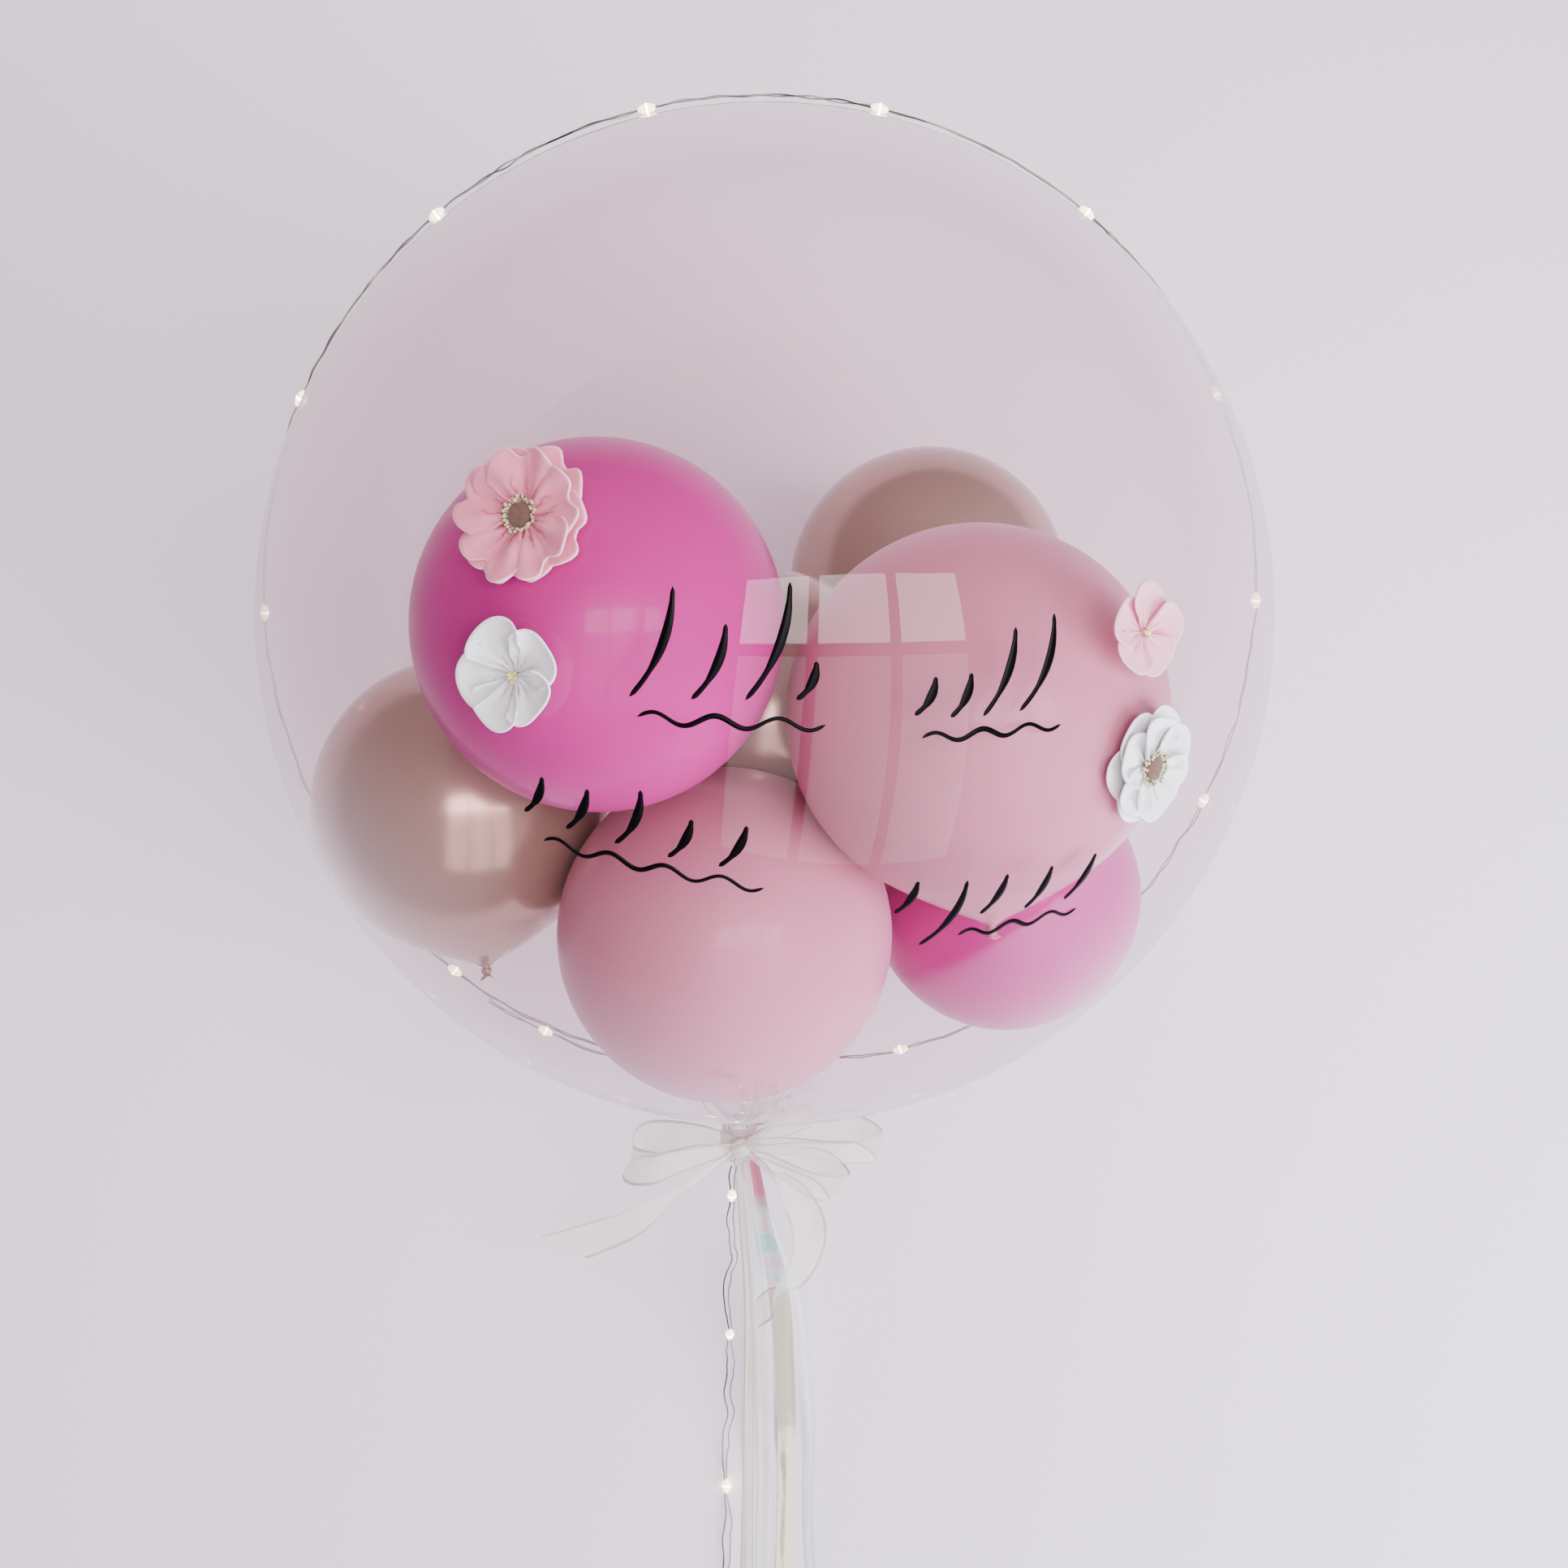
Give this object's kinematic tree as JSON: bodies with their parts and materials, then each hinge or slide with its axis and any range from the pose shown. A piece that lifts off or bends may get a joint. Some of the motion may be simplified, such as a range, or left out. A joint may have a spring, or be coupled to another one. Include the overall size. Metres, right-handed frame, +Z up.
{
  "type": "clear bubble balloon",
  "caption": "Clear bubble balloon lying on its back, with small latex balloons sealed inside, foam flowers, vinyl strokes, a fairy-light string, an organza bow and film streamers.",
  "frame": {"origin": "middle of the flat spot on which the bubble rests", "axes": "+Z up from the surface it lies on; +Y from the tail to the bubble's crown side; +X to the right seen from above with the crown at the top; the decorated front faces up, tipped towards the tail"},
  "size_m": [0.4628, 0.8849, 0.4521],
  "materials": {
    "clear_film": "clear glossy stretched plastic film",
    "latex_hot_pink": "glossy hot pink latex",
    "latex_light_pink": "glossy dusty pink latex",
    "latex_rose_pearl": "pearlescent rose gold latex",
    "black_vinyl": "glossy black adhesive vinyl",
    "pink_foam": "matte soft pink foam sheet",
    "white_foam": "matte white foam sheet",
    "stamen_yellow": "pale yellow green crumpled paper stamens",
    "brown_felt": "matte brown button",
    "light_string_wire": "fine bare silvered copper wire",
    "lamp_resin": "clear resin drop over a warm white lamp",
    "white_plastic": "fine satin moulded plastic",
    "cream_organza": "sheer cream organza with woven edges",
    "cream_tissue_film": "thin milky cream film",
    "pearl_film": "thin iridescent film with cyan and rose glints"
  },
  "bodies": {
    "root": {"battery_box": "white_plastic", "battery_box_switch": "white_plastic", "bubble": "clear_film", "light_string_ring": "light_string_wire", "light_string_tail": "light_string_wire", "organza_bow": "cream_organza", "pink_anemone_button": "brown_felt", "pink_anemone_inner_petals": "pink_foam", "pink_anemone_outer_petals": "pink_foam", "pink_anemone_stamen_ring": "stamen_yellow", "pink_frangipani_petals": "pink_foam", "pink_frangipani_yellow_heart": "stamen_yellow", "streamer_centre": "cream_tissue_film", "streamer_curled": "cream_tissue_film", "streamer_left": "cream_tissue_film", "streamer_pearl": "pearl_film", "vinyl_dab_lower_left_1": "black_vinyl", "vinyl_dab_lower_left_2": "black_vinyl", "vinyl_dab_lower_left_3": "black_vinyl", "vinyl_dab_lower_left_4": "black_vinyl", "vinyl_dab_lower_left_5": "black_vinyl", "vinyl_dab_lower_right_1": "black_vinyl", "vinyl_dab_lower_right_2": "black_vinyl", "vinyl_dab_lower_right_3": "black_vinyl", "vinyl_dab_lower_right_4": "black_vinyl", "vinyl_dab_lower_right_5": "black_vinyl", "vinyl_dab_upper_left_1": "black_vinyl", "vinyl_dab_upper_left_2": "black_vinyl", "vinyl_dab_upper_left_3": "black_vinyl", "vinyl_dab_upper_left_4": "black_vinyl", "vinyl_dab_upper_right_1": "black_vinyl", "vinyl_dab_upper_right_2": "black_vinyl", "vinyl_dab_upper_right_3": "black_vinyl", "vinyl_dab_upper_right_4": "black_vinyl", "vinyl_wave_lower_left": "black_vinyl", "vinyl_wave_lower_right": "black_vinyl", "vinyl_wave_upper_left": "black_vinyl", "vinyl_wave_upper_right": "black_vinyl", "white_anemone_button": "brown_felt", "white_anemone_inner_petals": "white_foam", "white_anemone_outer_petals": "white_foam", "white_anemone_stamen_ring": "stamen_yellow", "white_frangipani_petals": "white_foam", "white_frangipani_yellow_heart": "stamen_yellow"}
  },
  "joints": []
}
